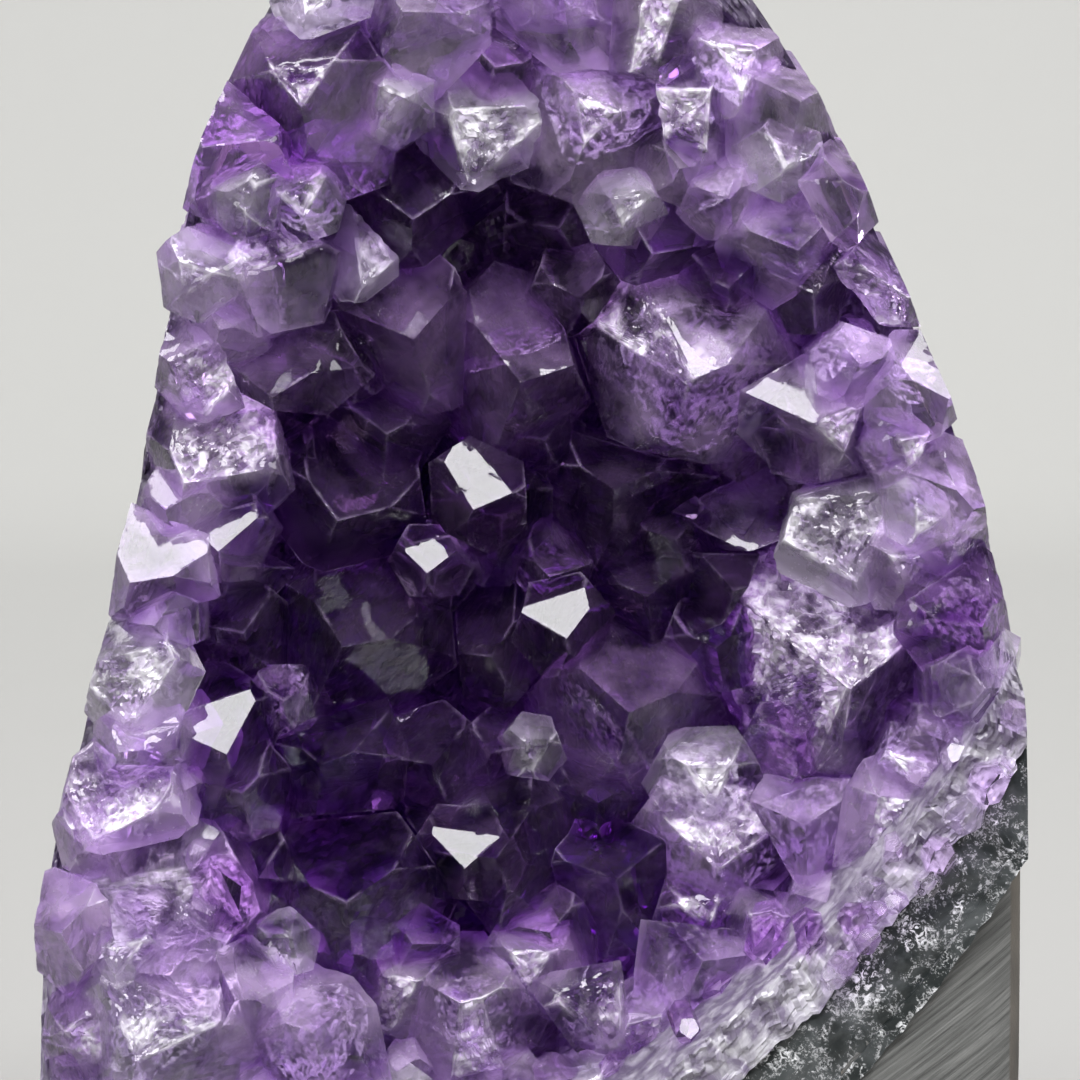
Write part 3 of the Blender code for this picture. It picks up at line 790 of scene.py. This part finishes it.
def add_veils(grown):
    """Veils in most pale and clear crystals, and in some of the purple ones."""
    chance = np.random.default_rng(67)
    often = {"pale_amethyst": 2, "clear_quartz": 2, "amethyst": 1, "deep_amethyst": 0}
    shapes = []
    for number, (planes, slot) in enumerate(grown.values()):
        count = int(chance.integers(0, often[slot] + 1))
        shapes += [veil(planes, 700 + 7 * number + k) for k in range(count)]
    add_solids("crystal_veils", shapes, VEIL_FINISH, "milky_quartz", crease=60.0)


def veil_material():
    """White inside fractures: patchy, so that light passes between the patches."""
    made, tree, shader, _ = new_material("veil")
    mask = cloudy_mask(tree, 700.0, 0.46, 0.7)
    tree.links.new(times(tree, mask, 0.45), shader.inputs["Alpha"])
    tone = cloudy_mask(tree, 150.0, 0.3, 0.7)
    tree.links.new(mix(tree, tone, rgb(0.62, 0.5, 0.8), rgb(0.9, 0.87, 0.95)), shader.inputs["Base Color"])
    shader.inputs["Roughness"].default_value = 0.25
    return made


VEIL_FINISH = veil_material()


# ---- Pieces: druse, chalcedony and basalt ------------------------------------------------------

def side_at(side, z):
    """How far a side stands from the middle at height z, on a smooth curve through its points."""
    knots = np.array([side[0], *side, side[-1]], float)
    place = np.linspace(0, len(side) - 1, 80)
    first = np.minimum(place.astype(int), len(side) - 2)
    t = (place - first)[:, None]
    a, b, c, d = (knots[first + k] for k in range(4))
    curve = 0.5 * (2 * b + (c - a) * t + (2 * a - 5 * b + 4 * c - d) * t**2
                   + (3 * b - a - 3 * c + d) * t**3)
    return np.interp(z, np.maximum.accumulate(curve[:, 0]), curve[:, 1])


def reach_at(x, z):
    """1 in the middle of the hollow, 0 and less beyond its rim."""
    return 1.0 - ((x - BOWL_MIDDLE[0]) / BOWL_HALF[0]) ** 2 - ((z - BOWL_MIDDLE[1]) / BOWL_HALF[1]) ** 2


def root_surface(x, z):
    """The y of the druse's face: a flat rim with a bowl in it."""
    return RIM_Y + BOWL_DEPTH * np.maximum(0.0, reach_at(x, z)) ** 0.8


def rind_top(x):
    """The height on the front face where the rind ends."""
    return 6.0 + 39.0 * np.clip((x - 10.0) / 40.0, 0.0, 1.0) ** 1.5


def between(left, right, x):
    """A band's height, changing from left to right over the middle of the front."""
    share = np.clip((x + 5.0) / 25.0, 0.0, 1.0)
    return left + (right - left) * share * share * (3 - 2 * share)


def band_top(x):
    return rind_top(x) + between(2.5, 9.5, x)


def druse_foot(x):
    return band_top(x) + between(2.0, 6.0, x)


def front_at(z):
    return FRONT_AT_FOOT + FRONT_LEAN * z


def sweep_back(x, z, foot, depth):
    """The y of a surface that starts far in front at a layer's foot, and nears the druse's face, set
    back by depth, exponentially with height."""
    climbed = np.maximum(z - (foot - SWEEP_DROP), 0.0)
    return SWEEP_FROM + (root_surface(x, z) + depth - SWEEP_FROM) * (1 - np.exp(-climbed / SWEEP_OVER))


def layer_face(x, z, foot, depth):
    """The y of a layer's front: the ground face at its foot, then a sweep back behind the crystals."""
    return np.maximum(front_at(z), sweep_back(x, z, foot(x), depth))


def border_of(foot, angles, centre):
    """How far the stone's outline, or the layer's foot, is from a centre, for each angle."""
    near, far = np.zeros(len(angles)), np.full(len(angles), 160.0)
    for _ in range(40):
        middle = (near + far) / 2
        x, z = centre[0] + middle * np.cos(angles), centre[1] + middle * np.sin(angles)
        inside = (z > foot(x)) & (z < HEIGHT) & (x > -side_at(LEFT_SIDE, z)) & (x < side_at(RIGHT_SIDE, z))
        near, far = np.where(inside, middle, near), np.where(inside, far, middle)
    return near


def slab(foot, front, back, around, rings):
    """A layer: rings of points from the middle of its front to its border, over its edge, and
    back to the middle of its back. front and back give y from x and z."""
    centre = (3.0, 78.0)
    angles = np.linspace(0, 2 * math.pi, around, endpoint=False)
    border = border_of(foot, angles, centre)
    share = 1 - (1 - np.linspace(0, 1, rings)) ** 1.5
    reach = share[:, None] * border
    x, z = centre[0] + reach * np.cos(angles), centre[1] + reach * np.sin(angles)
    front_sheet = np.stack([x, front(x, z), z], -1)
    few = np.linspace(rings - 1, 0, 24).astype(int)
    back_sheet = np.stack([x[few], back(x[few], z[few]), z[few]], -1)
    wall = np.linspace(0, 1, 12)[1:-1, None, None]
    edge = front_sheet[-1] + wall * (back_sheet[0] - front_sheet[-1])
    rough = cloud(edge, 3.0, 5) + 0.5 * cloud(edge, 1.1, 6)
    edge[..., 0] -= np.cos(angles) * (0.3 + 0.3 * rough) * np.sin(math.pi * wall[..., 0])
    points = np.concatenate([front_sheet, edge, back_sheet])
    return points.reshape(-1, 3), [ring_faces(len(points), around)]


def add_druse():
    """The milky quartz: sugary, pale at its foot and dark above it, darkest where it lines the hollow; the
    dark is painted shade for the gaps between the crystals.
    """
    def front(x, z):
        y = layer_face(x, z, druse_foot, 0.0)
        place = np.stack([x, y, z], -1)
        calm = np.clip((z - band_top(x)) / 8.0, 0.55, 1.0)
        return y - calm * (0.8 + 0.8 * shards(place, 2.6, 11) + 0.45 * shards(place, 1.1, 12))

    def back(x, z):
        return layer_face(x, z, band_top, DRUSE) - 0.15

    def foot(x):
        place = np.stack([x, 0 * x, band_top(x)], -1)
        return band_top(x) + 0.8 * cloud(place, 3.2, 13) + 0.45 * cloud(place, 1.1, 14) + 0.3

    points, faces = slab(foot, front, back, 540, 140)
    # The mark is painted shade: near 0 at the druse's foot, where it keeps its pale colour, and near 1 above
    # it, most in the hollow, where it stands for the shade between the crystals.
    above = (points[:, 2] - druse_foot(points[:, 0])) / 7.0
    marks = np.clip(np.minimum(0.85 + 0.5 * reach_at(points[:, 0], points[:, 2]), above), 0.0, 1.0)
    add_piece("fine_quartz_druse", points, faces, MILKY, marks, replaced=["quartz_druse"],
              slot="milky_quartz", crease=12.0)


def add_band():
    """The chalcedony: lumpy where it shows, between the basalt and the milky quartz."""
    def front(x, z):
        y = layer_face(x, z, band_top, DRUSE)
        place = np.stack([x, y, z], -1)
        return y + 0.25 * cloud(place, 2.2, 21) + 0.2 * np.abs(cloud(place, 0.8, 22)) + 0.1

    def back(x, z):
        return layer_face(x, z, rind_top, DRUSE + CHALCEDONY) - 0.15

    def foot(x):
        place = np.stack([x, 0 * x, rind_top(x)], -1)
        return rind_top(x) + 0.5 * cloud(place, 2.6, 23) + 0.25 * cloud(place, 0.9, 24) - 1.8

    points, faces = slab(foot, front, back, 540, 124)
    add_piece("fine_chalcedony_band", points, faces, CHALCEDONY_FINISH, replaced=["chalcedony_band"],
              slot="green_chalcedony", crease=30.0)


def add_rind():
    """The basalt, as rings from the foot to the top: a rough rock back, and a front that is
    ground flat up to the chalcedony and hollow behind it."""
    heights = np.concatenate([np.linspace(0, 4, 9)[:-1], np.linspace(4, 56, 150), np.linspace(57, 139.9, 62)])
    left, right = side_at(LEFT_SIDE, heights), side_at(RIGHT_SIDE, heights)
    middle, half = ((right - left) / 2)[:, None], ((right + left) / 2)[:, None]
    z = heights[:, None]
    back = BACK_AT_FOOT * (1 - (z / BACK_CURVE[0]) ** BACK_CURVE[1])
    seam = front_at(z) + 0.3 * (back - front_at(z))
    turn = np.linspace(0, math.pi, 180)[None, :]
    behind = np.stack(np.broadcast_arrays(
        middle + half * np.sign(np.cos(turn)) * np.abs(np.cos(turn)) ** 0.82,
        seam + (back - seam) * np.abs(np.sin(turn)) ** 0.82, z), -1)
    lump = 1.0 * cloud(behind, 16.0, 31) + 0.75 * cloud(behind, 6.0, 32) + 0.45 * cloud(behind, 2.2, 33)
    lump = lump + 0.25 * np.abs(cloud(behind, 0.9, 34))
    fade = np.abs(np.sin(turn)) ** 0.5
    behind[..., 0] -= (0.7 + 0.7 * lump) * np.cos(turn) * fade
    behind[..., 1] -= (1.0 + 1.0 * lump) * fade
    across = np.concatenate([np.linspace(-1, 0.1, 50)[:-1], np.linspace(0.1, 1, 170)])[1:-1][None, :]
    depth = (1 - np.abs(across) ** (2 / 0.3)) ** 0.15
    x = middle + half * across
    y = seam + (front_at(z) - seam) * depth
    place = np.stack(np.broadcast_arrays(x, 0 * x, z), -1)
    ragged = rind_top(x) + 1.5 * cloud(place, 3.4, 35) + 0.9 * cloud(place, 1.2, 36)
    swept = sweep_back(x, z, ragged, DRUSE + CHALCEDONY)
    ahead = np.stack(np.broadcast_arrays(x, np.maximum(y, swept), z), -1)
    ground = np.where((np.abs(across) < 0.97) & (swept < y), 1.0, 0.0)
    rings = np.concatenate([behind, ahead], axis=1)
    marks = np.concatenate([np.zeros(behind.shape[:2]), ground], axis=1)
    around = rings.shape[1]
    foot = np.mean(rings[0], axis=0)
    top = np.mean(rings[-1], axis=0)
    points = np.concatenate([np.broadcast_to(foot, rings[0].shape)[None], rings,
                             np.broadcast_to(top, rings[0].shape)[None]])
    marks = np.concatenate([np.zeros((1, around)), marks, np.zeros((1, around))])
    add_piece("fine_basalt_rind", points.reshape(-1, 3), [ring_faces(len(points), around)], BASALT,
              marks.ravel(), replaced=["basalt_rind"], slot="basalt", crease=40.0)


def milky_material():
    made, tree, shader, _ = new_material("milky_quartz")
    # The mark mixes in the dark colour, which is painted shade for the gaps between the crystals; pale is the
    # milky quartz's own colour.
    deep = mark_of(tree)
    veils = cloudy_mask(tree, 260.0, 0.4, 0.62)
    pale = mix(tree, veils, rgb(0.24, 0.2, 0.3), rgb(0.74, 0.72, 0.78))
    dark = mix(tree, veils, rgb(0.025, 0.012, 0.045), rgb(0.1, 0.06, 0.15))
    tree.links.new(mix(tree, deep, pale, dark), shader.inputs["Base Color"])
    shader.inputs["Roughness"].default_value = 0.3
    shader.inputs["Transmission Weight"].default_value = 0.3
    shader.inputs["IOR"].default_value = 1.544
    glitter = group_node(tree, GLITTER, Scale=1100.0, Strength=0.45)
    tree.links.new(glitter.outputs["Normal"], shader.inputs["Normal"])
    return made


def chalcedony_material():
    """Dark green-grey agate, cloudy in places, with clusters of white frost."""
    made, tree, shader, _ = new_material("green_chalcedony")
    shade = cloudy_mask(tree, 110.0, 0.45, 0.7)
    colour = mix(tree, shade, rgb(0.016, 0.02, 0.02), rgb(0.085, 0.093, 0.095))
    for patch, grain, tone in ((190.0, 1500.0, 0.72), (420.0, 2600.0, 0.4)):
        where = cloudy_mask(tree, patch, 0.5, 0.57)
        crumbs = cloudy_mask(tree, grain, 0.5, 0.6)
        frost = times(tree, where, crumbs)
        colour = mix(tree, frost, colour, rgb(tone, tone * 1.01, tone * 1.03))
    tree.links.new(colour, shader.inputs["Base Color"])
    shader.inputs["Roughness"].default_value = 0.3
    place = place_of(tree)
    grain = node(tree, "TexNoise", Vector=place, Scale=900.0, Detail=5.0)
    bump = node(tree, "Bump", Strength=0.5, Distance=0.0003, Height=grain.outputs["Fac"])
    tree.links.new(bump.outputs["Normal"], shader.inputs["Normal"])
    return made


def basalt_material():
    """Grey basalt: brushed diagonally where it is ground, brown-grey and pitted on the rock."""
    made, tree, shader, _ = new_material("basalt")
    ground = mark_of(tree)
    place = place_of(tree)
    along = node(tree, "Mapping", {"vector_type": "TEXTURE"}, Vector=place,
                 Rotation=(0.0, math.radians(-36), 0.0), Scale=(1 / 70, 1 / 70, 1 / 2600))
    strokes = node(tree, "TexNoise", Vector=along.outputs[0], Scale=1.0, Detail=6.0, Roughness=0.7)
    grain = node(tree, "TexNoise", Vector=place, Scale=1400.0, Detail=4.0, Roughness=0.7)
    patch = node(tree, "TexNoise", Vector=place, Scale=60.0, Detail=4.0)
    patch = node(tree, "MapRange", Value=patch.outputs["Fac"], From_Min=0.36, From_Max=0.64)
    stroke = node(tree, "MapRange", Value=strokes.outputs["Fac"], From_Min=0.36, From_Max=0.66)
    brushed = mix(tree, stroke.outputs["Result"], rgb(0.035, 0.036, 0.035), rgb(0.21, 0.212, 0.205))
    dust = times(tree, grain.outputs["Fac"], 0.4)
    brushed = mix(tree, dust, brushed, rgb(0.12, 0.12, 0.115))
    rock = mix(tree, patch.outputs["Result"], rgb(0.06, 0.054, 0.048), rgb(0.19, 0.165, 0.14))
    rock = mix(tree, times(tree, grain.outputs["Fac"], 0.6), rock, rgb(0.1, 0.095, 0.085))
    tree.links.new(mix(tree, ground, rock, brushed), shader.inputs["Base Color"])
    rough = math_node(tree, "SUBTRACT", 0.85, times(tree, ground, 0.3))
    tree.links.new(rough, shader.inputs["Roughness"])
    height = mix(tree, ground, grain.outputs["Fac"], strokes.outputs["Fac"])
    bump = node(tree, "Bump", Strength=0.5, Distance=0.0002, Height=height)
    tree.links.new(bump.outputs["Normal"], shader.inputs["Normal"])
    return made


MILKY, CHALCEDONY_FINISH, BASALT = milky_material(), chalcedony_material(), basalt_material()
crystals = add_crystals()
add_between(crystals)
add_fill(crystals)
add_veils(crystals)
add_druse()
add_band()
add_rind()


# ---- Floor and light ---------------------------------------------------------------------------

def add_stage():
    """A pale sheet: floor, a wide curve, and a wall, as a profile carried sideways."""
    turn = np.linspace(0, math.pi / 2, 24)
    profile = [(-1.4, 0.0), *zip(0.75 + 0.35 * np.sin(turn), 0.35 - 0.35 * np.cos(turn)), (1.1, 2.2)]
    points = [(x, y, z) for x in (-2.2, 2.2) for y, z in profile]
    count = len(profile)
    faces = [(i, i + 1, i + 1 + count, i + count) for i in range(count - 1)]
    mesh = bpy.data.meshes.new("floor")
    mesh.from_pydata(points, [], faces)
    mesh.flip_normals()
    mesh.shade_smooth()
    made, tree, shader, _ = new_material("pale_paper")
    place = place_of(tree)
    tone = node(tree, "TexNoise", Vector=place, Scale=1.2)
    far = mix(tree, tone.outputs["Fac"], rgb(0.6, 0.6, 0.58), rgb(0.64, 0.635, 0.62))
    # Painted shade: the floor is darker near the geode and in front of it, where the top light falls
    # strongest, and pale further back.
    depth = node(tree, "SeparateXYZ", Vector=place).outputs["Y"]
    depth = node(tree, "MapRange", Value=depth, From_Min=0.05, From_Max=0.85).outputs["Result"]
    colour = mix(tree, depth, rgb(0.31, 0.305, 0.3), far)
    tree.links.new(colour, shader.inputs["Base Color"])
    shader.inputs["Roughness"].default_value = 0.9
    mesh.materials.append(made)
    floor = bpy.data.objects.new("floor", mesh)
    bpy.context.scene.collection.objects.link(floor)


def add_light(name, place, size, power, aim=(0.0, 0.0, 0.075)):
    """A soft rectangle of light that faces a point, by default the geode's middle."""
    lamp = bpy.data.lights.new(name, "AREA")
    lamp.shape = "RECTANGLE"
    lamp.size, lamp.size_y = size
    lamp.energy = power
    made = bpy.data.objects.new(name, lamp)
    place = np.array(place)
    direction = (place - aim) / np.linalg.norm(place - aim)
    made.location = place
    made.rotation_euler = (math.acos(direction[2]), 0.0, math.atan2(direction[0], -direction[1]))
    bpy.context.scene.collection.objects.link(made)


def add_world():
    world = bpy.data.worlds.new("studio")
    world.use_nodes = True
    world.node_tree.nodes["Background"].inputs["Color"].default_value = rgb(0.95, 0.97, 1.0)
    world.node_tree.nodes["Background"].inputs["Strength"].default_value = 0.06
    bpy.context.scene.world = world


add_stage()
add_world()
add_light("top_light", (0.05, -0.3, 0.7), (0.6, 0.42), 10.6)
add_light("left_light", (-0.75, -0.45, 0.3), (0.25, 0.5), 2.3)
add_light("right_light", (0.8, -0.25, 0.45), (0.25, 0.45), 2.0)
add_light("wall_light", (0.0, 0.35, 1.5), (1.6, 0.3), 13.0, aim=(0.0, 0.95, 0.3))
bpy.context.scene.view_settings.view_transform = "Standard"
